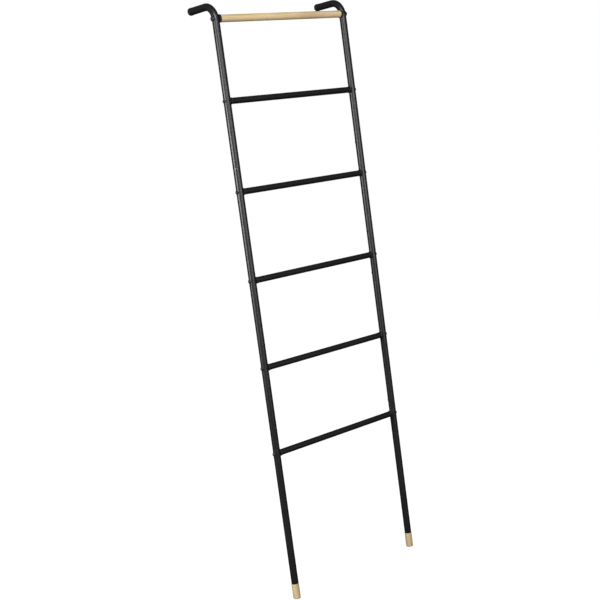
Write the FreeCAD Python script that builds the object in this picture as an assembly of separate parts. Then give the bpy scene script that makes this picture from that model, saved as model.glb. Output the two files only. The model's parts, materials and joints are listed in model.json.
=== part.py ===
import FreeCAD, Part
import math
import os

from FreeCAD import Vector

# A leaning ladder rack for quilts and blankets: two bent steel rails on wooden
# feet, five steel rungs and one wooden rung.
#
# Lengths are in millimetres. Every piece is first made in the ladder's own
# upright frame: X runs along the rungs from the left rail to the right rail, Y
# from the front towards the wall, and Z up the rails, with the origin on the
# end plane of the feet, midway between the rails. The function leaned() then
# tips the piece back against the wall and stands it on the floor.

# ---------------------------------------------------------------- dimensions

# The whole ladder
lean = 11.8                      # degrees from upright
rail_spacing = 450.0             # from one rail's axis to the other's
lowest_rung_height = 417.0       # all heights are measured along the rails
steel_rungs = 5
rung_pitch = 240.0
wooden_rung_rise = 214.0         # from the highest steel rung
corner_rise = 36.0               # from the wooden rung to the axes' corner
arm_length = 107.0               # from that corner to the end of the arm cap

# Rails
rail_diameter = 20.0
rail_wall = 1.2
bend_radius = 40.0               # at the tube's axis
tube_edge_chamfer = 0.4

# Rail joints, each one measured up from the rung below it
lower_joint_rise = 11.5          # above the first rung
middle_joint_rise = 156.5        # above the second rung
upper_joint_rise = 61.5          # above the fourth rung
butt_gap = 0.2                   # hairline between two tube ends
sleeve_reach = 45.0              # each way from the joint
sleeve_wall = 2.0
sleeve_clearance = 0.1           # radial
screw_rise = 28.0                # from the joint to its screw
boss_wall = 1.6                  # around the screw, drawn from the sleeve's wall
boss_depth = 2.5

# Feet
foot_overhang = 0.5              # how far the wood stands proud of the tube
foot_wood_length = 41.0
foot_edge_radius = 0.8
foot_shoulder_chamfer = 0.6
tenon_length = 30.0
tenon_clearance = 0.1
pad_thickness = 2.0
pad_inset = 0.5
pad_edge_radius = 0.5

# Arm caps
cap_overhang = 0.5
cap_head_length = 8.0
cap_edge_radius = 2.0
cap_plug_length = 16.0
cap_plug_clearance = 0.6
cap_rib_clearance = 0.05
cap_rib_width = 2.0
cap_ribs = 3

# Steel rungs
rung_diameter = 17.0
rung_wall = 1.0
insert_length = 15.0
insert_clearance = 0.05
spacer_overhang = 1.0            # beyond the rung's radius
spacer_crest = 4.0               # thickness between the rail and the rung
spacer_hook = 2.5                # how far it reaches around the rail
spacer_edge_radius = 0.6

# Wooden rung
wooden_rung_diameter = 20.0
wooden_rung_chamfer = 0.5
collar_wall = 1.1
collar_base = 2.0
collar_lip = 1.0                 # how far the cup reaches over the wood
collar_hook = 3.0
collar_clearance = 0.1
wood_insert_diameter = 12.0
wood_insert_length = 20.0
wood_bore_spare = 6.0            # blind bore beyond the threaded insert

# Fasteners: thread, head and hexagon socket of the button head bolts
M5 = {"thread": 5.0, "head": 9.5, "height": 2.75, "socket": 3.0, "depth": 1.6}
M6 = {"thread": 6.0, "head": 10.5, "height": 3.3, "socket": 4.0, "depth": 2.0}
M8 = {"thread": 8.0, "head": 14.0, "height": 4.4, "socket": 5.0, "depth": 2.6}
head_rim = 0.5                   # straight rim under a head's dome
thread_clearance = 0.05          # between a thread and its nut, both plain here
hole_clearance = 0.3             # around a bolt that passes through
washer_crest = 0.5
washer_overhang = 0.25
rung_bolt_bite = 10.5            # thread engaged in the insert
wood_bolt_bite = 17.5
screw_bite_spare = 1.7           # screw tip beyond the sleeve's boss

seat_gap = 0.05                  # between a curved seat and the tube it fits

# ------------------------------------------------------------ derived values

rail_radius = rail_diameter / 2
rail_bore = rail_radius - rail_wall
rung_radius = rung_diameter / 2
rung_bore = rung_radius - rung_wall
wood_radius = wooden_rung_diameter / 2
foot_radius = rail_radius + foot_overhang
foot_length = foot_wood_length + pad_thickness
sleeve_radius = rail_bore - sleeve_clearance
sleeve_bore = sleeve_radius - sleeve_wall
half_spacing = rail_spacing / 2

rung_heights = [lowest_rung_height + i * rung_pitch for i in range(steel_rungs)]
wooden_rung_height = rung_heights[-1] + wooden_rung_rise
corner_height = wooden_rung_height + corner_rise
joint_heights = {
    "lower": rung_heights[0] + lower_joint_rise,
    "middle": rung_heights[1] + middle_joint_rise,
    "upper": rung_heights[3] + upper_joint_rise,
}
rung_end = half_spacing - rail_radius - spacer_crest
wooden_rung_end = half_spacing - rail_radius - collar_base
sides = {"left": -1, "right": 1}

pad_radius = foot_radius - pad_inset
cap_radius = rail_radius + cap_overhang

# The lean takes the back of the foot pads' rounded edge lowest and the top of
# the arm caps' rounded edge furthest back. Furthest forward is the front of the
# wooden feet's upper edge or of their lower, rounded edge. The lowest point goes
# to the floor, and the middle of the ladder's depth to the origin.
lean_sin = math.sin(math.radians(lean))
lean_cos = math.cos(math.radians(lean))
pad_edge_centre = pad_radius - pad_edge_radius
floor_level = pad_edge_radius * (lean_cos - 1) - pad_edge_centre * lean_sin
foot_edge_height = pad_thickness + foot_edge_radius
foot_edge_front = (foot_edge_radius - foot_radius) * lean_cos + foot_edge_height * lean_sin - foot_edge_radius
foot_side_front = -foot_radius * lean_cos + foot_edge_height * lean_sin
front_face = min(foot_edge_front, foot_side_front)
cap_edge_reach = (arm_length - cap_edge_radius) * lean_cos + cap_edge_radius
back_face = cap_edge_reach + (corner_height + cap_radius - cap_edge_radius) * lean_sin
depth_middle = (front_face + back_face) / 2


# ------------------------------------------------------------------- helpers

def cylinder(radius, length, start, direction):
    """A solid cylinder from start along direction."""
    return Part.makeCylinder(radius, length, start, direction)


def tube(outer, inner, start, end):
    """A straight tube along Z with its outer edges chamfered."""
    body = cylinder(outer, end - start, Vector(0, 0, start), Vector(0, 0, 1))
    body = body.makeChamfer(tube_edge_chamfer, rims(body, outer))
    return body.cut(cylinder(inner, end - start, Vector(0, 0, start), Vector(0, 0, 1)))


def rims(shape, radius):
    """The full circular edges of one radius."""
    found = []
    for edge in shape.Edges:
        curve = edge.Curve
        if curve.TypeId == "Part::GeomCircle" and abs(curve.Radius - radius) < 1e-6:
            if edge.isClosed():
                found.append(edge)
    return found


def rim_at(shape, radius, axis, place):
    """The circular edge of one radius whose centre is at place along an axis."""
    return [e for e in rims(shape, radius) if abs(e.Curve.Center.dot(axis) - place) < 1e-6]


def revolved(outline, start, direction):
    """A turned piece: outline is a wire in the XZ plane about Z, stood at start."""
    body = Part.Face(outline).revolve(Vector(0, 0, 0), Vector(0, 0, 1), 360)
    body = Part.Solid(body) if body.ShapeType == "Shell" else body
    turn = FreeCAD.Rotation(Vector(0, 0, 1), direction)
    body.Placement = FreeCAD.Placement(start, turn).multiply(body.Placement)
    return body


def bent_rail(radius, bottom, side, arm_end):
    """The rail's top as a solid bar: straight, quarter bend, arm towards the wall."""
    x = side * half_spacing
    bend_start = Vector(x, 0, corner_height - bend_radius)
    bend_end = Vector(x, bend_radius, corner_height)
    bend_centre = Vector(x, bend_radius, corner_height - bend_radius)
    half_turn = math.radians(45)
    bend_middle = bend_centre + Vector(0, -math.cos(half_turn), math.sin(half_turn)) * bend_radius
    first = Vector(x, 0, bottom)
    last = Vector(x, arm_end, corner_height)
    path = Part.Wire([
        Part.makeLine(first, bend_start),
        Part.Arc(bend_start, bend_middle, bend_end).toShape(),
        Part.makeLine(bend_end, last),
    ])
    section = Part.Wire(Part.makeCircle(radius, first, Vector(0, 0, 1)))
    return path.makePipeShell([section], True, False)


def bolt_holes(side):
    """Clearance holes of the rung bolts, right through a rail from side to side."""
    bolts = [(M6, height) for height in rung_heights] + [(M8, wooden_rung_height)]
    holes = []
    for size, height in bolts:
        start = Vector(side * (half_spacing - rail_diameter), 0, height)
        radius = size["thread"] / 2 + hole_clearance
        holes.append(cylinder(radius, 2 * rail_diameter, start, Vector(side, 0, 0)))
    return holes


def screw_holes(side):
    """Clearance holes of the joint screws, through a rail's back wall only."""
    radius = M5["thread"] / 2 + hole_clearance
    holes = []
    for height in joint_heights.values():
        start = Vector(side * half_spacing, rail_bore - boss_depth, height + screw_rise)
        holes.append(cylinder(radius, rail_diameter, start, Vector(0, 1, 0)))
    return holes


def cut_all(shape, tools):
    """Cuts each tool that reaches the shape."""
    near = [tool for tool in tools if shape.BoundBox.intersect(tool.BoundBox)]
    return shape.cut(near) if near else shape


def one_solid(shape):
    """The single solid in a result, with split faces joined again."""
    solids = shape.Solids
    if len(solids) != 1:
        raise ValueError("expected one solid, got %d" % len(solids))
    return solids[0].removeSplitter()


def leaned(shape):
    """Tips a piece back by the lean and stands the ladder at its own origin."""
    tipped = shape.copy()
    tipped.rotate(Vector(0, 0, 0), Vector(1, 0, 0), -lean)
    tipped.translate(Vector(0, -depth_middle, -floor_level))
    return tipped


def export(node, shapes):
    """Writes one node, which is a single solid or a group of like solids."""
    pieces = [leaned(one_solid(shape)) for shape in shapes]
    result = pieces[0] if len(pieces) == 1 else Part.makeCompound(pieces)
    result.exportStep("parts/%s.step" % node)
    volume = sum(piece.Volume for piece in pieces)
    print("%-26s solids %2d  volume %10.1f mm3  valid %s" % (node, len(pieces), volume, result.isValid()))


# --------------------------------------------------------------------- rails

def rail_tube(side, bottom, top):
    """A straight length of rail."""
    body = tube(rail_radius, rail_bore, bottom, top)
    body.translate(Vector(side * half_spacing, 0, 0))
    return cut_all(body, bolt_holes(side) + screw_holes(side))


def top_tube(side):
    """The rail's top length, with its quarter bend and its arm."""
    bottom = joint_heights["upper"] + butt_gap / 2
    arm_end = arm_length - cap_head_length
    outer = bent_rail(rail_radius, bottom, side, arm_end)
    ends = rim_at(outer, rail_radius, Vector(0, 0, 1), bottom)
    ends += rim_at(outer, rail_radius, Vector(0, 1, 0), arm_end)
    outer = outer.makeChamfer(tube_edge_chamfer, ends)
    hollow = outer.cut(bent_rail(rail_bore, bottom, side, arm_end))
    return cut_all(hollow, bolt_holes(side) + screw_holes(side))


def rail_envelope(side):
    """The rail's outside, grown by the seat gap, to shape whatever fits on it."""
    return bent_rail(rail_radius + seat_gap, 0, side, arm_length)


def joint_sleeve(side, joint):
    """A tube that bridges a joint, with a drawn boss threaded for its screw."""
    height = joint_heights[joint]
    body = tube(sleeve_radius, sleeve_bore, height - sleeve_reach, height + sleeve_reach)
    boss_radius = M5["thread"] / 2 + boss_wall
    back = Vector(0, 1, 0)
    boss_start = Vector(0, sleeve_bore - boss_depth, height + screw_rise)
    boss = cylinder(boss_radius, boss_depth + sleeve_wall / 2, boss_start, back)
    thread = cylinder(M5["thread"] / 2 + thread_clearance, 2 * rail_radius, boss_start, back)
    body = body.fuse(boss).cut(thread)
    body.translate(Vector(side * half_spacing, 0, 0))
    return cut_all(body, bolt_holes(side))


# -------------------------------------------------------------- feet and caps

def wooden_foot(side):
    """A turned foot: a tenon inside the rail, a shoulder and a rounded end."""
    body = cylinder(foot_radius, foot_wood_length, Vector(0, 0, pad_thickness), Vector(0, 0, 1))
    lower = rim_at(body, foot_radius, Vector(0, 0, 1), pad_thickness)
    body = body.makeFillet(foot_edge_radius, lower)
    upper = rim_at(body, foot_radius, Vector(0, 0, 1), foot_length)
    body = body.makeChamfer(foot_shoulder_chamfer, upper)
    tenon_start = Vector(0, 0, pad_thickness + foot_wood_length / 2)
    tenon = cylinder(rail_bore - tenon_clearance, foot_wood_length / 2 + tenon_length, tenon_start, Vector(0, 0, 1))
    body = body.fuse(tenon)
    body.translate(Vector(side * half_spacing, 0, 0))
    return body


def foot_pad(side):
    """A flat disc under the wooden foot."""
    body = cylinder(pad_radius, pad_thickness, Vector(side * half_spacing, 0, 0), Vector(0, 0, 1))
    return body.makeFillet(pad_edge_radius, rim_at(body, pad_radius, Vector(0, 0, 1), 0))


def arm_cap(side):
    """A cap with a domed edge, and a ribbed plug that grips the arm's bore."""
    toward_wall = Vector(0, 1, 0)
    head_start = arm_length - cap_head_length
    base = Vector(side * half_spacing, head_start, corner_height)
    body = cylinder(cap_radius, cap_head_length, base, toward_wall)
    body = body.makeFillet(cap_edge_radius, rim_at(body, cap_radius, toward_wall, arm_length))
    body = body.makeFillet(cap_overhang / 2, rim_at(body, cap_radius, toward_wall, head_start))
    plug_start = base - toward_wall * cap_plug_length
    plug_radius = rail_bore - cap_plug_clearance
    body = body.fuse(cylinder(plug_radius, cap_plug_length + cap_overhang, plug_start, toward_wall))
    rib_pitch = cap_plug_length / cap_ribs
    for i in range(cap_ribs):
        rib_start = plug_start + toward_wall * (i * rib_pitch + rib_pitch / 4)
        body = body.fuse(cylinder(rail_bore - cap_rib_clearance, cap_rib_width, rib_start, toward_wall))
    return body


# --------------------------------------------------------------------- rungs

def steel_rung(height):
    """A plain tube between the two spacers."""
    body = tube(rung_radius, rung_bore, -rung_end, rung_end)
    body.rotate(Vector(0, 0, 0), Vector(0, 1, 0), 90)
    body.translate(Vector(0, 0, height))
    return body


def rung_insert(side, height):
    """A threaded plug, flush with the steel rung's end."""
    inward = Vector(-side, 0, 0)
    start = Vector(side * rung_end, 0, height)
    body = cylinder(rung_bore - insert_clearance, insert_length, start, inward)
    return body.cut(cylinder(M6["thread"] / 2 + thread_clearance, insert_length, start, inward))


def rung_spacer(side, height):
    """A disc with a groove across its back that straddles the rail."""
    inward = Vector(-side, 0, 0)
    radius = rung_radius + spacer_overhang
    crest = side * (half_spacing - rail_radius)
    start = Vector(crest, 0, height) - inward * spacer_hook
    body = cylinder(radius, spacer_hook + spacer_crest, start, inward)
    front_rim = rim_at(body, radius, Vector(1, 0, 0), side * rung_end)
    body = body.makeFillet(spacer_edge_radius, front_rim)
    body = body.cut(rail_envelope(side))
    return body.cut(cylinder(M6["thread"] / 2 + hole_clearance, 4 * rail_radius, start, inward))


def wooden_rung():
    """A round bar with chamfered ends and a blind bore for each insert."""
    along = Vector(1, 0, 0)
    start = Vector(-wooden_rung_end, 0, wooden_rung_height)
    body = cylinder(wood_radius, 2 * wooden_rung_end, start, along)
    body = body.makeChamfer(wooden_rung_chamfer, rims(body, wood_radius))
    for side in sides.values():
        mouth = Vector(side * wooden_rung_end, 0, wooden_rung_height)
        depth = wood_insert_length + wood_bore_spare
        body = body.cut(cylinder(wood_insert_diameter / 2 + seat_gap, depth, mouth, along * -side))
    return body


def wood_insert(side):
    """A threaded insert, flush with the wooden rung's end."""
    inward = Vector(-side, 0, 0)
    start = Vector(side * wooden_rung_end, 0, wooden_rung_height)
    body = cylinder(wood_insert_diameter / 2, wood_insert_length, start, inward)
    return body.cut(cylinder(M8["thread"] / 2 + thread_clearance, wood_insert_length, start, inward))


def rung_collar(side):
    """A cup that takes the wooden rung's end and straddles the rail behind it."""
    inward = Vector(-side, 0, 0)
    radius = wood_radius + collar_clearance + collar_wall
    crest = side * (half_spacing - rail_radius)
    start = Vector(crest, 0, wooden_rung_height) - inward * collar_hook
    mouth = wooden_rung_end - collar_lip
    body = cylinder(radius, collar_hook + collar_base + collar_lip, start, inward)
    body = body.makeFillet(collar_wall / 2, rim_at(body, radius, Vector(1, 0, 0), side * mouth))
    seat = Vector(side * wooden_rung_end, 0, wooden_rung_height)
    body = body.cut(cylinder(wood_radius + collar_clearance, 2 * collar_lip, seat, inward))
    body = body.cut(rail_envelope(side))
    return body.cut(cylinder(M8["thread"] / 2 + hole_clearance, 4 * rail_radius, start, inward))


# ----------------------------------------------------------------- fasteners

def button_bolt(size, length, seat, direction):
    """A button head bolt: seat is the point under the head, direction its axis out."""
    radius = size["head"] / 2
    dome = size["height"] - head_rim
    dome_radius = (radius ** 2 + dome ** 2) / (2 * dome)
    half_angle = math.asin(radius / dome_radius) / 2
    centre = size["height"] - dome_radius
    shoulder = Vector(dome_radius * math.sin(half_angle), 0, centre + dome_radius * math.cos(half_angle))
    top = Vector(0, 0, size["height"])
    rim = Vector(radius, 0, head_rim)
    outline = Part.Wire([
        Part.makeLine(Vector(0, 0, 0), Vector(radius, 0, 0)),
        Part.makeLine(Vector(radius, 0, 0), rim),
        Part.Arc(rim, shoulder, top).toShape(),
        Part.makeLine(top, Vector(0, 0, 0)),
    ])
    head = revolved(outline, seat, direction)
    socket_start = seat + direction * (size["height"] - size["depth"])
    head = head.cut(hexagon(size["socket"], 2 * size["depth"], socket_start, direction))
    tip = seat - direction * length
    shank = cylinder(size["thread"] / 2, length + head_rim, tip, direction)
    tip_rim = rim_at(shank, size["thread"] / 2, direction, tip.dot(direction))
    return head.fuse(shank.makeChamfer(head_rim, tip_rim))


def hexagon(across_flats, length, start, direction):
    """A hexagonal prism along a direction."""
    corner = across_flats / math.sqrt(3)
    angles = [math.radians(60 * i) for i in range(7)]
    points = [Vector(corner * math.cos(a), corner * math.sin(a), 0) for a in angles]
    prism = Part.Face(Part.makePolygon(points)).extrude(Vector(0, 0, length))
    prism.Placement = FreeCAD.Placement(start, FreeCAD.Rotation(Vector(0, 0, 1), direction))
    return prism


def curved_washer(size, side, height, direction):
    """A washer that is flat under the head and hollowed to sit on the rail."""
    radius = size["head"] / 2 + washer_overhang
    fall = rail_radius - math.sqrt(rail_radius ** 2 - radius ** 2)
    axis_point = Vector(side * half_spacing, 0, height)
    start = axis_point + direction * (rail_radius - fall)
    body = cylinder(radius, fall + washer_crest, start, direction)
    body = body.cut(rail_envelope(side))
    return body.cut(cylinder(size["thread"] / 2 + hole_clearance, 2 * rail_radius, start, direction))


def head_seat(side, height, direction):
    """The point on a curved washer's face where the bolt head sits."""
    axis_point = Vector(side * half_spacing, 0, height)
    return axis_point + direction * (rail_radius + washer_crest)


def rung_bolt(side, height):
    outward = Vector(side, 0, 0)
    length = washer_crest + rail_diameter + spacer_crest + rung_bolt_bite
    return button_bolt(M6, length, head_seat(side, height, outward), outward)


def wood_bolt(side):
    outward = Vector(side, 0, 0)
    length = washer_crest + rail_diameter + collar_base + wood_bolt_bite
    return button_bolt(M8, length, head_seat(side, wooden_rung_height, outward), outward)


def joint_screw(side, joint):
    back = Vector(0, 1, 0)
    height = joint_heights[joint] + screw_rise
    length = washer_crest + rail_radius - sleeve_bore + boss_depth + screw_bite_spare
    return button_bolt(M5, length, head_seat(side, height, back), back)


# --------------------------------------------------------------------- build

os.makedirs("parts", exist_ok=True)

for name, side in sides.items():
    lower = joint_heights["lower"]
    middle = joint_heights["middle"]
    upper = joint_heights["upper"]
    export(name + "_top_tube", [top_tube(side)])
    export(name + "_upper_tube", [rail_tube(side, middle + butt_gap / 2, upper - butt_gap / 2)])
    export(name + "_lower_tube", [rail_tube(side, lower + butt_gap / 2, middle - butt_gap / 2)])
    export(name + "_foot_tube", [rail_tube(side, foot_length, lower - butt_gap / 2)])
    for joint in joint_heights:
        export("%s_%s_sleeve" % (name, joint), [joint_sleeve(side, joint)])
    export(name + "_arm_cap", [arm_cap(side)])
    export(name + "_wooden_foot", [wooden_foot(side)])
    export(name + "_foot_pad", [foot_pad(side)])
    export(name + "_rung_collar", [rung_collar(side)])

for number, height in enumerate(rung_heights, start=1):
    export("steel_rung_%d" % number, [steel_rung(height)])
export("wooden_rung", [wooden_rung()])

ends = [(side, height) for height in rung_heights for side in sides.values()]
joints = [(side, joint) for joint in joint_heights for side in sides.values()]
export("rung_inserts", [rung_insert(*end) for end in ends])
export("rung_spacers", [rung_spacer(*end) for end in ends])
export("wood_inserts", [wood_insert(side) for side in sides.values()])
export("rung_bolts", [rung_bolt(*end) for end in ends])
export("wood_bolts", [wood_bolt(side) for side in sides.values()])
export("joint_screws", [joint_screw(*joint) for joint in joints])
export("rung_bolt_washers", [curved_washer(M6, s, h, Vector(s, 0, 0)) for s, h in ends])
export("wood_bolt_washers",
       [curved_washer(M8, s, wooden_rung_height, Vector(s, 0, 0)) for s in sides.values()])
export("joint_screw_washers",
       [curved_washer(M5, s, joint_heights[j] + screw_rise, Vector(0, 1, 0)) for s, j in joints])
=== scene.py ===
import json
import math

import bmesh
import bpy
import numpy as np
from mathutils import Matrix, Vector


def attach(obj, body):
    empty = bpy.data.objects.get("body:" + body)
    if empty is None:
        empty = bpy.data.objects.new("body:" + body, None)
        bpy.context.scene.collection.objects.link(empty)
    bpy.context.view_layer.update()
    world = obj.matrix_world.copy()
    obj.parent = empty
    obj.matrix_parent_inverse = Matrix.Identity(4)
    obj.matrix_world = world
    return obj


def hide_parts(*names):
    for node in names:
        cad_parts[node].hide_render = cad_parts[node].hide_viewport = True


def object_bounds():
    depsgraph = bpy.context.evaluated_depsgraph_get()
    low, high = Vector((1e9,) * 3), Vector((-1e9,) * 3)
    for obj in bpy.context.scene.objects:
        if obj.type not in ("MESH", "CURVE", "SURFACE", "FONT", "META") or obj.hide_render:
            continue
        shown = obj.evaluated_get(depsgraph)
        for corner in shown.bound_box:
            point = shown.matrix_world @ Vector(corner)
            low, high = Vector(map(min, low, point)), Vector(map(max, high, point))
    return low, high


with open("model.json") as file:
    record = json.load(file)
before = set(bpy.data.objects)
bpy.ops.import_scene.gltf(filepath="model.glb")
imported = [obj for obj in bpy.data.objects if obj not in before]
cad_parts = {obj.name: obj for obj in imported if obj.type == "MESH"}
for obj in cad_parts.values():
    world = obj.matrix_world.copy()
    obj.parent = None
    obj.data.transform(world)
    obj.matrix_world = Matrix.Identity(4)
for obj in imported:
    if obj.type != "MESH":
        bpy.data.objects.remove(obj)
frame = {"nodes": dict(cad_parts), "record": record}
cad_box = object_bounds()


# ------------------------------------------------------------------- the rails
# Two rails of round steel tube, each sawn into four lengths that butt on inner
# sleeves. The top length is bent back through a right angle into the arm that
# meets the wall. All of it is powder coated black, with a fine grain.

mm = 0.001
mounts = {mount["name"]: mount for mount in frame["record"]["mounts"]}
left_foot = np.array(mounts["left_foot_face"]["pos_m"])
right_foot = np.array(mounts["right_foot_face"]["pos_m"])
ladder_foot = (left_foot + right_foot) / 2
up_rail = -np.array(mounts["left_foot_face"]["axis"])
to_wall = np.array(mounts["left_arm_face"]["axis"])
to_right = np.cross(to_wall, up_rail)
ladder_axes = np.array([to_right, to_wall, up_rail])
sides = {"left": -1, "right": 1}

rail_wall = 1.2 * mm
rail_edge = 0.4 * mm
bore_edge = 0.15 * mm
bend_radius = 40 * mm
bend_rows = 40
bend_flattening = 0.035          # of the tube's depth, at the middle of the bend
round_columns = 96
sharp_angle = math.radians(40)   # faces that meet more steeply are shaded apart
merge_distance = 0.0001 * mm     # closes each pole to one point
mottle_scale = 9.0               # cycles of slow unevenness in a metre
coat_roughness_range = (0.34, 0.42)


def on_ladder(position):
    """A place in the frame, given along the ladder's own axes from its foot."""
    return (np.asarray(position) - ladder_foot) @ ladder_axes.T


def own_box(node):
    """The lowest and highest corners of a CAD node along the ladder's own axes."""
    vertices = frame["nodes"][node].data.vertices
    points = np.empty(3 * len(vertices))
    vertices.foreach_get("co", points)
    points = on_ladder(points.reshape(-1, 3))
    return points.min(axis=0), points.max(axis=0)


def rounded(corners, looped, steps=6, guard=0.04 * mm):
    """An outline of (radius, height, corner radius) points, each corner turned into an arc.

    An arc of radius r in a turn of angle t starts and ends r tan(t/2) from its corner, and its
    centre is r / cos(t/2) away along the bisector. A guard point on each side of an arc keeps
    its shading off the flat stretch beside it."""
    corners = np.array(corners, float)
    points = []
    for i, (corner, arc) in enumerate(zip(corners[:, :2], corners[:, 2])):
        if arc == 0 or (not looped and i in (0, len(corners) - 1)):
            points.append(corner[None])
            continue
        back = corners[i - 1, :2] - corner
        ahead = corners[(i + 1) % len(corners), :2] - corner
        back, ahead = back / np.linalg.norm(back), ahead / np.linalg.norm(ahead)
        half_turn = (math.pi - math.acos(np.clip(back @ ahead, -1, 1))) / 2
        reach = arc * math.tan(half_turn)
        bisector = (back + ahead) / np.linalg.norm(back + ahead)
        centre = corner + bisector * arc / math.cos(half_turn)
        spread = np.linspace(-half_turn, half_turn, steps)[:, None]
        tangent = (ahead - back) / np.linalg.norm(ahead - back)
        curve = centre + arc * (np.sin(spread) * tangent - np.cos(spread) * bisector)
        before, after = corner + back * (reach + guard), corner + ahead * (reach + guard)
        points.append(np.vstack([before, curve, after]))
    return np.vstack(points)


def turned(outline, columns=round_columns):
    """An outline carried round the Z axis, a row for each of its points. A point (r, h) becomes
    (r cos a, r sin a, h)."""
    angle = np.linspace(0, 2 * math.pi, columns, endpoint=False)
    radius, height = outline[:, :1], outline[:, 1:]
    return np.stack([radius * np.cos(angle), radius * np.sin(angle), height + 0 * angle], axis=-1)


def placed(grid, start, direction):
    """A grid made about Z, stood on the ladder: its Z axis goes along direction from start. Its X
    axis goes up the rail or, where the piece itself does, to the right."""
    along = np.array(direction, float)
    first = np.array([1.0, 0, 0]) if abs(along[2]) > 0.5 else np.array([0, 0, 1.0])
    return grid @ np.array([first, np.cross(along, first), along]) + np.array(start)


def add_surface(name, grids, looped, material, slot, *nodes):
    """A piece made of grids of points, (copies, rows, columns, 3), along the ladder's own axes.

    Four neighbouring points make a face. Columns close round the piece, and rows close too on a
    looped outline. On any other, the first and last rows are poles, merged to one point each.
    The points then go to the frame: foot + x right + y to the wall + z up the rail."""
    grids = np.array(grids)
    grids = grids[None] if grids.ndim == 3 else grids
    numbers = np.arange(grids[..., 0].size).reshape(grids.shape[:-1])
    upper = np.roll(numbers, -1, axis=1)
    if not looped:
        numbers, upper = numbers[:, :-1], upper[:, :-1]
    faces = [numbers, np.roll(numbers, -1, axis=2), np.roll(upper, -1, axis=2), upper]
    points = ladder_foot + grids.reshape(-1, 3) @ ladder_axes
    mesh = bpy.data.meshes.new(name)
    mesh.from_pydata(points.tolist(), [], np.stack(faces, axis=-1).reshape(-1, 4).tolist())
    tidy = bmesh.new()
    tidy.from_mesh(mesh)
    bmesh.ops.remove_doubles(tidy, verts=tidy.verts, dist=merge_distance)
    tidy.to_mesh(mesh)
    tidy.free()
    mesh.shade_smooth()
    mesh.set_sharp_from_angle(angle=sharp_angle)
    mesh.materials.append(material)
    piece = bpy.data.objects.new(name, mesh)
    bpy.context.scene.collection.objects.link(piece)
    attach(piece, "root")
    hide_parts(*nodes)
    return piece


def add_node(tree, kind, inputs=None, **settings):
    """A shader node: settings are its own properties, and inputs are values or the sockets that
    feed it."""
    node = tree.nodes.new(kind)
    for name, value in settings.items():
        setattr(node, name, value)
    for name, value in (inputs or {}).items():
        if isinstance(value, bpy.types.NodeSocket):
            tree.links.new(value, node.inputs[name])
        else:
            node.inputs[name].default_value = value
    return node


def new_group(name, inputs, outputs):
    """An empty node group with named sockets, and its input and output nodes."""
    tree = bpy.data.node_groups.new(name, "ShaderNodeTree")
    for label, kind in inputs.items():
        tree.interface.new_socket(label, in_out="INPUT", socket_type="NodeSocket" + kind)
    for label, kind in outputs.items():
        tree.interface.new_socket(label, in_out="OUTPUT", socket_type="NodeSocket" + kind)
    return tree, add_node(tree, "NodeGroupInput"), add_node(tree, "NodeGroupOutput")


def new_material(name, metallic=0.0, specular=0.5, coat=0.0, coat_roughness=0.2):
    """A material with its Principled shader, whose even values are set on the shader's own sockets."""
    material = bpy.data.materials.new(name)
    material.use_nodes = True
    shader = material.node_tree.nodes["Principled BSDF"]
    shader.inputs["Metallic"].default_value = metallic
    shader.inputs["Specular IOR Level"].default_value = specular
    shader.inputs["Coat Weight"].default_value = coat
    shader.inputs["Coat Roughness"].default_value = coat_roughness
    return material, material.node_tree, shader


def surface_grain_group():
    """Fine grain and broad unevenness of a moulded, coated or plated surface. Height is a fine
    noise plus a broader one, Tone is a slow one, and Gloss is both together, all from 0 to 1."""
    inputs = {"Vector": "Vector", "Grain scale": "Float", "Lump scale": "Float", "Lump share": "Float"}
    outputs = {"Height": "Float", "Tone": "Float", "Gloss": "Float"}
    tree, given, result = new_group("surface_grain", inputs, outputs)
    fine = add_node(tree, "ShaderNodeTexNoise", {
        "Vector": given.outputs["Vector"], "Scale": given.outputs["Grain scale"], "Detail": 2.0})
    lumps = add_node(tree, "ShaderNodeTexNoise", {
        "Vector": given.outputs["Vector"], "Scale": given.outputs["Lump scale"], "Detail": 1.0})
    slow = add_node(tree, "ShaderNodeTexNoise", {
        "Vector": given.outputs["Vector"], "Scale": mottle_scale, "Detail": 3.0, "Distortion": 0.4})
    height = add_node(tree, "ShaderNodeMix", {
        "Factor": given.outputs["Lump share"], "A": fine.outputs["Fac"], "B": lumps.outputs["Fac"]})
    gloss = add_node(tree, "ShaderNodeMix", {
        "Factor": 0.5, "A": height.outputs["Result"], "B": slow.outputs["Fac"]})
    tree.links.new(height.outputs["Result"], result.inputs["Height"])
    tree.links.new(slow.outputs["Fac"], result.inputs["Tone"])
    tree.links.new(gloss.outputs["Result"], result.inputs["Gloss"])
    return tree


surface_grain = surface_grain_group()


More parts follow.
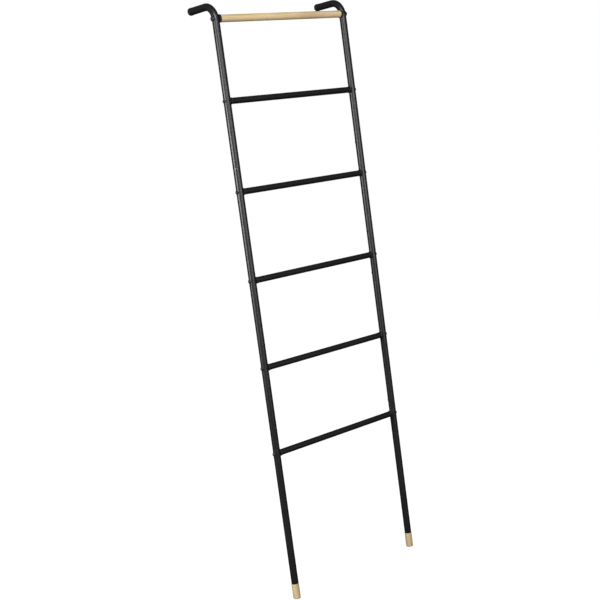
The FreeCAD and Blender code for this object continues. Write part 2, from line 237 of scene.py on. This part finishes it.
def grained_material(name, dark, light, roughness, grain, lump, lump_share, relief, **shader_values):
    """A surface that varies gently between two colours and two roughnesses, with a relief given in
    metres. Grain and lump are the sizes of its fine and broad unevenness."""
    material, tree, shader = new_material(name, **shader_values)
    place = add_node(tree, "ShaderNodeTexCoord")
    pattern = add_node(tree, "ShaderNodeGroup", node_tree=surface_grain)
    tree.links.new(place.outputs["Object"], pattern.inputs["Vector"])
    pattern.inputs["Grain scale"].default_value = 1 / grain
    pattern.inputs["Lump scale"].default_value = 1 / lump
    pattern.inputs["Lump share"].default_value = lump_share
    colour = add_node(tree, "ShaderNodeMix", {
        "Factor": pattern.outputs["Tone"], "A": (*dark, 1), "B": (*light, 1)}, data_type="RGBA")
    gloss = add_node(tree, "ShaderNodeMapRange", {
        "Value": pattern.outputs["Gloss"], "From Min": 0.3, "From Max": 0.7,
        "To Min": roughness[0], "To Max": roughness[1]})
    bump = add_node(tree, "ShaderNodeBump", {
        "Height": pattern.outputs["Height"], "Distance": relief, "Strength": 1.0})
    tree.links.new(colour.outputs["Result"], shader.inputs["Base Color"])
    tree.links.new(gloss.outputs["Result"], shader.inputs["Roughness"])
    tree.links.new(bump.outputs["Normal"], shader.inputs["Normal"])
    return material


black_coat = grained_material(
    "black_powder_coat", (0.0026, 0.0027, 0.0032), (0.0046, 0.0048, 0.0055), coat_roughness_range,
    grain=0.45 * mm, lump=1.6 * mm, lump_share=0.45, relief=0.014 * mm, specular=0.5)

foot_tube_low, foot_tube_high = own_box("left_foot_tube")
rail_radius = (foot_tube_high[0] - foot_tube_low[0]) / 2
rail_bore = rail_radius - rail_wall
half_spacing = (right_foot[0] - left_foot[0]) / 2
arm_end_place = on_ladder(mounts["left_arm_face"]["pos_m"])
corner_height = arm_end_place[2]
bend_start = corner_height - bend_radius
bend_length = bend_radius * math.pi / 2


def tube_outline(outer, inner, start, end, stations=()):
    """A tube's wall, cut through: up the outside, over the sawn end and back down the bore. It
    gets a point at each of the stations, for a tube that bends there."""
    outside = [(outer, height, 0) for height in stations]
    inside = [(inner, height, 0) for height in reversed(stations)]
    return rounded([
        (inner, start, bore_edge), (outer, start, rail_edge), *outside,
        (outer, end, rail_edge), (inner, end, bore_edge), *inside], looped=True)


def bent(grid):
    """A straight tube wrapped round the bend. At height h past its start, the turn is
    a = (h - start) / R, and a point y from the tube's axis goes to R - (R - y) cos a towards the
    wall and (R - y) sin a up. The bend flattens the tube a little, most at its middle."""
    x, y, height = np.moveaxis(grid, -1, 0)
    turn = np.clip((height - bend_start) / bend_radius, 0, math.pi / 2)
    y = y * (1 - bend_flattening * np.sin(2 * turn) ** 2)
    arm = np.maximum(height - bend_start - bend_length, 0)
    depth = bend_radius - (bend_radius - y) * np.cos(turn) + arm
    rise = np.minimum(height, bend_start) + (bend_radius - y) * np.sin(turn)
    return np.stack([x, depth, rise], axis=-1)


for name, side in sides.items():
    rail_foot = (side * half_spacing, 0, 0)
    for length in ("foot", "lower", "upper"):
        low, high = own_box(f"{name}_{length}_tube")
        wall = turned(tube_outline(rail_radius, rail_bore, low[2], high[2]))
        add_surface(f"{name}_{length}_rail", placed(wall, rail_foot, (0, 0, 1)), True, black_coat,
                    "black_coated_steel", f"{name}_{length}_tube")
    low, high = own_box(f"{name}_top_tube")
    bend_stations = np.linspace(bend_start, bend_start + bend_length, bend_rows).tolist()
    arm_reach = bend_start + bend_length + high[1] - bend_radius
    wall = bent(turned(tube_outline(rail_radius, rail_bore, low[2], arm_reach, bend_stations)))
    add_surface(f"{name}_bent_rail", placed(wall, rail_foot, (0, 0, 1)), True, black_coat,
                "black_coated_steel", f"{name}_top_tube")


# ------------------------------------------------------------------- the rungs
# Five lengths of the same kind of tube, thinner, with the same coat. Each butts on
# a grooved spacer at both ends and is pulled up by a bolt through the rail.

rung_wall = 1.0 * mm
rung_places = [on_ladder(mounts[f"rung_{i}_bar"]["pos_m"]) for i in range(1, 6)]
rung_low, rung_high = own_box("steel_rung_1")
rung_radius = (rung_high[2] - rung_low[2]) / 2
rung_end = rung_high[0]

for number, place in enumerate(rung_places, start=1):
    wall = turned(tube_outline(rung_radius, rung_radius - rung_wall, -rung_end, rung_end))
    add_surface(f"rung_{number}", placed(wall, place, (1, 0, 0)), True, black_coat,
                "black_coated_steel", f"steel_rung_{number}")


# ---------------------------------------------------- spacers and rung collars
# Black moulded plastic. A spacer is a disc with a groove across its back that
# straddles the rail, and a collar is a cup that also takes the wooden rung's end.

seat_gap = 0.05 * mm
bolt_hole = {"M5": 2.8 * mm, "M6": 3.3 * mm, "M8": 4.3 * mm}
spacer_radius = rung_radius + 1.0 * mm
spacer_hook = 2.5 * mm
spacer_edge = 0.6 * mm
collar_hook = 3.0 * mm
collar_wall = 1.1 * mm
collar_lip = 1.0 * mm
collar_clearance = 0.1 * mm
mould_edge = 0.25 * mm
seat_rows = 10

moulded_black = grained_material(
    "moulded_black", (0.0040, 0.0040, 0.0043), (0.0075, 0.0075, 0.0080), (0.42, 0.55),
    grain=0.25 * mm, lump=0.9 * mm, lump_share=0.3, relief=0.008 * mm, specular=0.45)


def seat_stations(inner, outer, height):
    """Points across a seat from its hole to its rim, close enough to take the rail's curve."""
    return [(radius, height, 0) for radius in np.linspace(inner, outer, seat_rows)[1:-1]]


def seated(grid):
    """A piece pressed onto a rail that runs along X, its axis at Z = 0: each point below the
    rail's surface, z = sqrt(r^2 - y^2), is lifted to it."""
    across = np.maximum((rail_radius + seat_gap) ** 2 - grid[..., 1] ** 2, 0)
    lifted = np.maximum(grid[..., 2], np.sqrt(across))
    return np.concatenate([grid[..., :2], lifted[..., None]], axis=-1)


def spacer_grid(side, height):
    """One spacer, on the rail's axis and facing the rung."""
    back = rail_radius - spacer_hook
    front = half_spacing - rung_end
    hole = bolt_hole["M6"]
    outline = rounded([
        (hole, back, 0), *seat_stations(hole, spacer_radius, back), (spacer_radius, back, 0),
        (spacer_radius, front, spacer_edge), (hole, front, mould_edge)], looped=True)
    return placed(seated(turned(outline)), (side * half_spacing, 0, height), (-side, 0, 0))


rung_ends = [(side, place[2]) for place in rung_places for side in sides.values()]
add_surface("spacers", [spacer_grid(*end) for end in rung_ends], True, moulded_black,
            "black_plastic", "rung_spacers")

wooden_rung_place = on_ladder(mounts["wooden_rung_bar"]["pos_m"])
wood_low, wood_high = own_box("wooden_rung")
wood_radius = (wood_high[2] - wood_low[2]) / 2
wood_end = wood_high[0]

for name, side in sides.items():
    back = rail_radius - collar_hook
    floor_of_cup = half_spacing - wood_end
    lip = floor_of_cup + collar_lip
    cup = wood_radius + collar_clearance
    hole = bolt_hole["M8"]
    outline = rounded([
        (hole, back, 0), *seat_stations(hole, cup + collar_wall, back),
        (cup + collar_wall, back, mould_edge), (cup + collar_wall, lip, collar_wall / 2),
        (cup, lip, mould_edge), (cup, floor_of_cup, 0), (hole, floor_of_cup, mould_edge)], looped=True)
    grid = placed(seated(turned(outline)), (side * half_spacing, 0, wooden_rung_place[2]), (-side, 0, 0))
    add_surface(f"{name}_collar", grid, True, moulded_black, "black_plastic", f"{name}_rung_collar")


# ------------------------------------------------------- wooden rung and feet
# Turned from a pale, straight-grained wood and given a thin satin lacquer. The
# rung has a blind bore in each end. A foot has a tenon that is glued into the rail.

wood_chamfer = 0.5 * mm
wood_bore_radius = 6.05 * mm
wood_bore_depth = 26 * mm
foot_edge = 0.8 * mm
shoulder_edge = 0.6 * mm
tenon_clearance = 0.1 * mm
ring_spacing = 2.1 * mm
grain_wander = 6.0 * mm
pore_depth = 0.05 * mm
heart_reciprocal = 16.0          # one over the heartwood's reach along the grain, in metres
lacquer, lacquer_roughness = 0.35, 0.22
pale_wood_colour = (0.560, 0.430, 0.245)
late_wood_colour = (0.450, 0.315, 0.165)
streak_colour = (0.330, 0.195, 0.095)


def wood_group():
    """Solid wood whose grain runs along X, with its pith on the X axis.

    Rings are the distance to the pith over the ring spacing, whose fraction climbs from early to
    late wood and drops back. The place is first shifted sideways by a slow noise, so that the
    grain wanders. Fibres and pores are noises drawn out along X. A slow noise makes some of it
    darker, and a streak of heartwood fades out on both sides of X = 0."""
    inputs = {"Vector": "Vector", "Early": "Color", "Late": "Color", "Heart": "Color", "Streak": "Float"}
    tree, given, result = new_group("pale_wood", inputs, {
        "Color": "Color", "Roughness": "Float", "Height": "Float"})

    def drawn_out(scale, **noise_inputs):
        """A noise of the place scaled by its own amount along each axis."""
        stretched = add_node(tree, "ShaderNodeVectorMath", {0: given.outputs["Vector"], 1: scale},
                             operation="MULTIPLY")
        return add_node(tree, "ShaderNodeTexNoise", {
            "Vector": stretched.outputs["Vector"], "Scale": 1.0, **noise_inputs})

    wander = drawn_out((5.0, 22.0, 22.0), Detail=1.0)
    centred = add_node(tree, "ShaderNodeVectorMath", {
        0: wander.outputs["Color"], 1: (0.5, 0.5, 0.5)}, operation="SUBTRACT")
    sideways = add_node(tree, "ShaderNodeVectorMath", {
        0: centred.outputs["Vector"], 1: (0.0, grain_wander, grain_wander)}, operation="MULTIPLY")
    shifted = add_node(tree, "ShaderNodeVectorMath", {
        0: given.outputs["Vector"], 1: sideways.outputs["Vector"]}, operation="ADD")
    flat = add_node(tree, "ShaderNodeVectorMath", {
        0: shifted.outputs["Vector"], 1: (0.0, 1.0, 1.0)}, operation="MULTIPLY")
    from_pith = add_node(tree, "ShaderNodeVectorMath", {0: flat.outputs["Vector"]}, operation="LENGTH")
    rings = add_node(tree, "ShaderNodeMath", {0: from_pith.outputs["Value"], 1: ring_spacing},
                     operation="DIVIDE")
    ring = add_node(tree, "ShaderNodeMath", {0: rings.outputs["Value"]}, operation="FRACT")
    late = add_node(tree, "ShaderNodeValToRGB", {"Fac": ring.outputs["Value"]})
    stops = late.color_ramp.elements
    stops[0].position, stops[0].color = 0.0, (0.55, 0.55, 0.55, 1)
    stops[1].position, stops[1].color = 1.0, (0.9, 0.9, 0.9, 1)
    for position, value in ((0.08, 0.1), (0.55, 0.22), (0.85, 0.75)):
        stops.new(position).color = (value, value, value, 1)

    fibre = drawn_out((38.0, 2100.0, 2100.0), Detail=3.0, Roughness=0.6)
    bundle = drawn_out((9.0, 420.0, 420.0), Detail=2.0)
    slow = drawn_out((7.0, 60.0, 60.0), Detail=2.0)
    pore_noise = drawn_out((150.0, 3300.0, 3300.0), Detail=0.0)
    pores = add_node(tree, "ShaderNodeMapRange", {
        "Value": pore_noise.outputs["Fac"], "From Min": 0.66, "From Max": 0.74}, clamp=True)

    lateness = add_node(tree, "ShaderNodeMix", {
        "Factor": 0.45, "A": late.outputs["Color"], "B": bundle.outputs["Fac"]}, data_type="FLOAT")
    lateness = add_node(tree, "ShaderNodeMapRange", {
        "Value": lateness.outputs["Result"], "From Min": 0.18, "From Max": 0.75})
    wood = add_node(tree, "ShaderNodeMix", {
        "Factor": lateness.outputs["Result"], "A": given.outputs["Early"], "B": given.outputs["Late"]},
        data_type="RGBA")
    fibre_tone = add_node(tree, "ShaderNodeMapRange", {
        "Value": fibre.outputs["Fac"], "From Min": 0.3, "From Max": 0.7, "To Min": 0.86, "To Max": 1.08})
    slow_tone = add_node(tree, "ShaderNodeMapRange", {
        "Value": slow.outputs["Fac"], "From Min": 0.3, "From Max": 0.7, "To Min": 0.88, "To Max": 1.06})
    tone = add_node(tree, "ShaderNodeMath", {
        0: fibre_tone.outputs["Result"], 1: slow_tone.outputs["Result"]}, operation="MULTIPLY")
    pore_tone = add_node(tree, "ShaderNodeMapRange", {
        "Value": pores.outputs["Result"], "To Min": 1.0, "To Max": 0.72})
    tone = add_node(tree, "ShaderNodeMath", {
        0: tone.outputs["Value"], 1: pore_tone.outputs["Result"]}, operation="MULTIPLY")
    shaded = add_node(tree, "ShaderNodeVectorMath", {
        0: wood.outputs["Result"], "Scale": tone.outputs["Value"]}, operation="SCALE")

    heart_place = add_node(tree, "ShaderNodeVectorMath", {
        0: shifted.outputs["Vector"], 1: (heart_reciprocal, 0.0, 0.0)}, operation="MULTIPLY")
    heart_reach = add_node(tree, "ShaderNodeVectorMath", {0: heart_place.outputs["Vector"]},
                           operation="LENGTH")
    heart = add_node(tree, "ShaderNodeMapRange", {
        "Value": heart_reach.outputs["Value"], "From Min": 0.2, "From Max": 1.0,
        "To Min": 1.0, "To Max": 0.0}, interpolation_type="SMOOTHSTEP")
    ragged = add_node(tree, "ShaderNodeMath", {
        0: heart.outputs["Result"], 1: bundle.outputs["Fac"]}, operation="MULTIPLY")
    streak = add_node(tree, "ShaderNodeMath", {
        0: ragged.outputs["Value"], 1: given.outputs["Streak"]}, operation="MULTIPLY")
    colour = add_node(tree, "ShaderNodeMix", {
        "Factor": streak.outputs["Value"], "A": shaded.outputs["Vector"], "B": given.outputs["Heart"]},
        data_type="RGBA")

    roughness = add_node(tree, "ShaderNodeMapRange", {
        "Value": fibre.outputs["Fac"], "From Min": 0.3, "From Max": 0.7, "To Min": 0.42, "To Max": 0.56})
    height = add_node(tree, "ShaderNodeMath", {
        0: fibre.outputs["Fac"], 1: pores.outputs["Result"]}, operation="SUBTRACT")
    tree.links.new(colour.outputs["Result"], result.inputs["Color"])
    tree.links.new(roughness.outputs["Result"], result.inputs["Roughness"])
    tree.links.new(height.outputs["Value"], result.inputs["Height"])
    return tree


solid_wood = wood_group()


def pale_wood(name, along, centre, pith, tone, streak):
    """Lacquered wood with its grain along a direction. The Mapping node turns the place into the
    wood's own axes, grain first, and puts the pith at its distance from the piece's centre. Tone
    scales the colours, since no two pieces of wood are quite alike."""
    material, tree, shader = new_material(name, coat=lacquer, coat_roughness=lacquer_roughness)
    grain = Vector(along)
    second = Vector(to_right) if abs(grain.x) < 0.5 else Vector(to_wall)
    turn = Matrix((grain, second, grain.cross(second)))
    place = add_node(tree, "ShaderNodeTexCoord")
    mapping = add_node(tree, "ShaderNodeMapping", {
        "Vector": place.outputs["Object"], "Rotation": turn.to_euler(),
        "Location": Vector(pith) - turn @ Vector(centre)})
    wood = add_node(tree, "ShaderNodeGroup", node_tree=solid_wood)
    tree.links.new(mapping.outputs["Vector"], wood.inputs["Vector"])
    colours = {"Early": pale_wood_colour, "Late": late_wood_colour, "Heart": streak_colour}
    for label, colour in colours.items():
        wood.inputs[label].default_value = (*(tone * channel for channel in colour), 1)
    wood.inputs["Streak"].default_value = streak
    bump = add_node(tree, "ShaderNodeBump", {
        "Height": wood.outputs["Height"], "Distance": pore_depth, "Strength": 1.0})
    tree.links.new(wood.outputs["Color"], shader.inputs["Base Color"])
    tree.links.new(wood.outputs["Roughness"], shader.inputs["Roughness"])
    tree.links.new(bump.outputs["Normal"], shader.inputs["Normal"])
    return material


rung_centre = mounts["wooden_rung_bar"]["pos_m"]
rung_pith = (-0.100, 0.034, -0.027)
rung_tone, rung_streak = 1.10, 0.66
foot_tone = 0.88
foot_pith = {"left": (-0.040, 0.031, 0.013), "right": (0.040, 0.031, 0.031)}
rung_wood = pale_wood("wooden_rung_wood", to_right, rung_centre, rung_pith, rung_tone, rung_streak)
outline = rounded([
    (0, wood_bore_depth - wood_end, 0), (wood_bore_radius, wood_bore_depth - wood_end, 0),
    (wood_bore_radius, -wood_end, bore_edge), (wood_radius, -wood_end, wood_chamfer),
    (wood_radius, wood_end, wood_chamfer), (wood_bore_radius, wood_end, bore_edge),
    (wood_bore_radius, wood_end - wood_bore_depth, 0), (0, wood_end - wood_bore_depth, 0)], looped=False)
add_surface("wood_rung", placed(turned(outline), wooden_rung_place, (1, 0, 0)), False, rung_wood,
            "pale_wood", "wooden_rung")

for name, side in sides.items():
    low, high = own_box(f"{name}_wooden_foot")
    shoulder = foot_tube_low[2]
    foot_radius = (high[0] - low[0]) / 2
    tenon_radius = rail_bore - tenon_clearance
    foot_centre = mounts[f"{name}_foot_face"]["pos_m"]
    foot_wood = pale_wood(f"{name}_foot_wood", up_rail, foot_centre, foot_pith[name], foot_tone, streak=0)
    outline = rounded([
        (0, low[2], 0), (foot_radius, low[2], foot_edge), (foot_radius, shoulder, shoulder_edge),
        (tenon_radius, shoulder, 0), (tenon_radius, high[2], shoulder_edge), (0, high[2], 0)], looped=False)
    add_surface(f"{name}_foot", placed(turned(outline), (side * half_spacing, 0, 0), (0, 0, 1)), False,
                foot_wood, "pale_wood", f"{name}_wooden_foot")


# ----------------------------------------------------------- pads and arm caps
# A thin rubber disc is glued under each foot. A rubber cap with a ribbed plug is
# pushed into each arm, and its rounded end rests on the wall.

pad_edge = 0.5 * mm
cap_head = 8.0 * mm
cap_edge = 2.0 * mm
cap_lip_edge = 0.25 * mm
cap_plug_length = 16 * mm
cap_plug_clearance = 0.6 * mm
cap_rib_clearance = 0.05 * mm
cap_rib_width = 2.0 * mm
cap_ribs = 3
cap_rib_offset = 0.25            # of the ribs' pitch, from the plug's inner end
cap_arc_steps = 12

pad_rubber = grained_material(
    "pad_rubber", (0.30, 0.26, 0.20), (0.42, 0.37, 0.30), (0.70, 0.85),
    grain=0.30 * mm, lump=1.2 * mm, lump_share=0.4, relief=0.06 * mm)
cap_rubber = grained_material(
    "cap_rubber", (0.0035, 0.0035, 0.0037), (0.0065, 0.0065, 0.0068), (0.55, 0.70),
    grain=0.22 * mm, lump=1.1 * mm, lump_share=0.35, relief=0.015 * mm, specular=0.45)

for name, side in sides.items():
    low, high = own_box(f"{name}_foot_pad")
    pad_radius = (high[0] - low[0]) / 2
    outline = rounded([
        (0, low[2], 0), (pad_radius, low[2], pad_edge), (pad_radius, high[2], bore_edge),
        (0, high[2], 0)], looped=False)
    add_surface(f"{name}_pad", placed(turned(outline), (side * half_spacing, 0, 0), (0, 0, 1)), False,
                pad_rubber, "pad_rubber", f"{name}_foot_pad")

    low, high = own_box(f"{name}_arm_cap")
    cap_radius = (high[0] - low[0]) / 2
    plug_radius, rib_radius = rail_bore - cap_plug_clearance, rail_bore - cap_rib_clearance
    rib_pitch = cap_plug_length / cap_ribs
    ribs = []
    for i in range(cap_ribs):
        rib_start = low[1] + (i + cap_rib_offset) * rib_pitch
        rib_end = rib_start + cap_rib_width
        ribs += [(plug_radius, rib_start, 0), (rib_radius, rib_start, bore_edge),
                 (rib_radius, rib_end, bore_edge), (plug_radius, rib_end, 0)]
    head_start = high[1] - cap_head
    outline = rounded([
        (0, low[1], 0), (plug_radius, low[1], bore_edge), *ribs, (plug_radius, head_start, 0),
        (cap_radius, head_start, cap_lip_edge), (cap_radius, high[1], cap_edge), (0, high[1], 0)],
        looped=False, steps=cap_arc_steps)
    arm_foot = (side * half_spacing, 0, corner_height)
    add_surface(f"{name}_cap", placed(turned(outline), arm_foot, (0, 1, 0)), False,
                cap_rubber, "cap_rubber", f"{name}_arm_cap")


# ------------------------------------------------------------ bolts and screws
# Black button head bolts with hexagon sockets: M6 for the steel rungs, M8 for the
# wooden rung and M5 at the back of the joints, each on a washer curved to the rail.

bolt_sizes = {
    "M5": {"thread": 5.0, "head": 9.5, "height": 2.75, "socket": 3.0, "depth": 1.6, "length": 8.0},
    "M6": {"thread": 6.0, "head": 10.5, "height": 3.3, "socket": 4.0, "depth": 2.0, "length": 35.0},
    "M8": {"thread": 8.0, "head": 14.0, "height": 4.4, "socket": 5.0, "depth": 2.6, "length": 40.0}}
head_rim = 0.5 * mm
head_rim_edge = 0.12 * mm
socket_edge = 0.18 * mm
dome_rows = 14
bolt_columns = 72
washer_crest = 0.5 * mm
washer_overhang = 0.25 * mm
joint_screw_rise = 28 * mm
socket_point = 1.2               # the depth of the socket's drilled point, over the socket's own

black_screw = grained_material(
    "black_screw_steel", (0.0060, 0.0061, 0.0068), (0.0110, 0.0112, 0.0125), (0.32, 0.42),
    grain=0.20 * mm, lump=1.0 * mm, lump_share=0.5, relief=0.006 * mm, specular=0.35)


def bolt_grid(size):
    """A button head bolt about Z, its head above Z = 0. The dome is part of a ball, and its rows
    pass from the hexagon of the socket, flat / cos(angle from the flat's middle), to the round rim."""
    numbers = {key: value * mm for key, value in bolt_sizes[size].items()}
    head, thread, height = numbers["head"] / 2, numbers["thread"] / 2, numbers["height"]
    angle = np.linspace(0, 2 * math.pi, bolt_columns, endpoint=False)
    sixth = math.pi / 3
    hexagon = numbers["socket"] / 2 / np.cos(np.mod(angle, sixth) - sixth / 2)
    ball = (head ** 2 + (height - head_rim) ** 2) / (2 * (height - head_rim))

    def dome(radius):
        return height - ball + np.sqrt(ball ** 2 - radius ** 2)

    shank = rounded([
        (0, -numbers["length"], 0), (thread, -numbers["length"], head_rim), (thread, 0, 0),
        (head, 0, head_rim_edge), (head, head_rim, 0)], looped=False)
    share = np.linspace(0, 1, dome_rows)[1:, None]
    dome_radius = head + (hexagon + socket_edge - head) * share
    rows = [
        (shank[:, :1] + 0 * angle, shank[:, 1:] + 0 * angle),
        (dome_radius, dome(dome_radius)),
        (hexagon[None], dome(hexagon[None]) - socket_edge),
        (hexagon[None], np.full((1, bolt_columns), height - numbers["depth"])),
        (0 * hexagon[None], np.full((1, bolt_columns), height - socket_point * numbers["depth"]))]
    radius = np.vstack([row[0] for row in rows])
    level = np.vstack([row[1] for row in rows])
    return np.stack([radius * np.cos(angle), radius * np.sin(angle), level], axis=-1)


def washer_grid(size):
    """A washer about Z, flat on top and pressed onto the rail, whose axis is at Z = 0."""
    outer = bolt_sizes[size]["head"] / 2 * mm + washer_overhang
    back = math.sqrt(rail_radius ** 2 - outer ** 2)
    top = rail_radius + washer_crest
    hole = bolt_hole[size]
    outline = rounded([
        (hole, back, 0), *seat_stations(hole, outer, back), (outer, back, 0),
        (outer, top, bore_edge), (hole, top, 0)], looped=True)
    return seated(turned(outline, bolt_columns))


def add_fasteners(size, places, bolt_node, washer_node):
    """All the bolts of one size and all their washers. A place is its rail's side, its height and
    the direction that its head faces."""
    bolts, washers = [], []
    for side, height, direction in places:
        axis_point = np.array([side * half_spacing, 0, height])
        seat = axis_point + (rail_radius + washer_crest) * np.array(direction)
        bolts.append(placed(bolt_grid(size), seat, direction))
        washers.append(placed(washer_grid(size), axis_point, direction))
    add_surface(f"{size}_{bolt_node}", bolts, False, black_screw, "black_screw_steel", bolt_node)
    add_surface(f"{size}_{washer_node}", washers, True, black_screw, "black_screw_steel", washer_node)


tube_tops = [own_box(f"left_{tube}_tube")[1][2] for tube in ("foot", "lower", "upper")]
joint_screw_heights = [top + joint_screw_rise for top in tube_tops]
wooden_rung_height = wooden_rung_place[2]
rung_bolt_places = [(side, height, (side, 0, 0)) for side, height in rung_ends]
wood_bolt_places = [(side, wooden_rung_height, (side, 0, 0)) for side in sides.values()]
joint_screw_places = [(side, height, (0, 1, 0)) for height in joint_screw_heights for side in sides.values()]
add_fasteners("M6", rung_bolt_places, "rung_bolts", "rung_bolt_washers")
add_fasteners("M8", wood_bolt_places, "wood_bolts", "wood_bolt_washers")
add_fasteners("M5", joint_screw_places, "joint_screws", "joint_screw_washers")


# --------------------------------------------------------- sleeves and inserts
# Zinc plated steel inside the tubes and the wooden rung: sleeves that bridge the
# rails' joints, and threaded inserts for the bolts. They keep their CAD shapes.

zinc_plate = grained_material(
    "zinc_plate", (0.50, 0.51, 0.52), (0.66, 0.67, 0.68), (0.26, 0.40), metallic=1.0,
    grain=0.35 * mm, lump=5.0 * mm, lump_share=0.6, relief=0.012 * mm)

for node, part in frame["nodes"].items():
    if node.endswith("_sleeve") or node.endswith("_inserts"):
        part.data.materials.clear()
        part.data.materials.append(zinc_plate)


# ------------------------------------------------------ floor, light and camera
# A plain pale floor and backdrop. A large soft light hangs above and left of the
# camera, a panel at the left draws a bright line down the rails, and a dim one in
# front fills the rest of them.

white = (1, 1, 1, 1)
floor_size = 12.0
floor_roughness = 0.9
floor_bounce = 0.22              # its tone for the light that it throws back up
floor_mirrored = 0.05            # as glossy pieces mirror it
floor_seen = 0.08                # in the camera's own view, low so that its shadows are faint
floor_glow = 0.98                # added in the camera's view
key_place, key_size, key_power = (-2.1, -2.4, 3.6), (1.8, 1.8), 165
side_place, side_size, side_power = (-2.6, 0.10, 1.20), (0.6, 1.0), 60
front_place, front_size, front_power = (-0.10, -3.4, 1.9), (2.0, 1.4), 52
backdrop_seen, backdrop_soft, backdrop_mirrored = 1.0, 0.24, 0.12
camera_place = (-2.0312, -2.3264, 1.6956)
camera_turn = math.radians(40.704)
camera_dip = math.radians(16.577)
camera_lens = 67.707
ladder_middle = (0, 0, (cad_box[0].z + cad_box[1].z) / 2)

half_floor = floor_size / 2
floor_mesh = bpy.data.meshes.new("floor")
floor_corners = [(-half_floor, -half_floor, 0), (half_floor, -half_floor, 0),
                 (half_floor, half_floor, 0), (-half_floor, half_floor, 0)]
floor_mesh.from_pydata(floor_corners, [], [(0, 1, 2, 3)])
floor = bpy.data.objects.new("floor", floor_mesh)
bpy.context.scene.collection.objects.link(floor)

floor_material, floor_tree, floor_shader = new_material("studio_floor", specular=0.0)
floor_shader.inputs["Roughness"].default_value = floor_roughness
floor_shader.inputs["Emission Color"].default_value = white
floor_rays = add_node(floor_tree, "ShaderNodeLightPath")
unseen_tone = add_node(floor_tree, "ShaderNodeMix", {
    "Factor": floor_rays.outputs["Is Glossy Ray"], "A": floor_bounce, "B": floor_mirrored})
seen_tone = add_node(floor_tree, "ShaderNodeMix", {
    "Factor": floor_rays.outputs["Is Camera Ray"], "A": unseen_tone.outputs["Result"],
    "B": floor_seen})
glow = add_node(floor_tree, "ShaderNodeMath", {
    0: floor_rays.outputs["Is Camera Ray"], 1: floor_glow}, operation="MULTIPLY")
floor_tree.links.new(seen_tone.outputs["Result"], floor_shader.inputs["Base Color"])
floor_tree.links.new(glow.outputs["Value"], floor_shader.inputs["Emission Strength"])
floor_mesh.materials.append(floor_material)


def add_softbox(name, place, size, power):
    """A rectangular area light, size wide and high, aimed at the middle of the ladder."""
    lamp = bpy.data.lights.new(name, "AREA")
    lamp.shape = "RECTANGLE"
    lamp.size, lamp.size_y = size
    lamp.energy = power
    light = bpy.data.objects.new(name, lamp)
    bpy.context.scene.collection.objects.link(light)
    light.location = place
    aim = Vector(ladder_middle) - Vector(place)
    light.rotation_euler = aim.to_track_quat("-Z", "Y").to_euler()


add_softbox("key_light", key_place, key_size, key_power)
add_softbox("side_panel", side_place, side_size, side_power)
add_softbox("front_panel", front_place, front_size, front_power)

world = bpy.data.worlds.new("studio")
bpy.context.scene.world = world
world.use_nodes = True
rays = add_node(world.node_tree, "ShaderNodeLightPath")
unseen = add_node(world.node_tree, "ShaderNodeMix", {
    "Factor": rays.outputs["Is Diffuse Ray"], "A": backdrop_mirrored, "B": backdrop_soft})
strength = add_node(world.node_tree, "ShaderNodeMix", {
    "Factor": rays.outputs["Is Camera Ray"], "A": unseen.outputs["Result"], "B": backdrop_seen})
backdrop = world.node_tree.nodes["Background"]
backdrop.inputs["Color"].default_value = white
world.node_tree.links.new(strength.outputs["Result"], backdrop.inputs["Strength"])
bpy.context.scene.view_settings.view_transform = "Standard"

camera_data = bpy.data.cameras.new("camera")
camera_data.lens = camera_lens
camera = bpy.data.objects.new("camera", camera_data)
bpy.context.scene.collection.objects.link(camera)
camera.location = camera_place
camera.rotation_euler = (math.pi / 2 - camera_dip, 0, -camera_turn)
bpy.context.scene.camera = camera
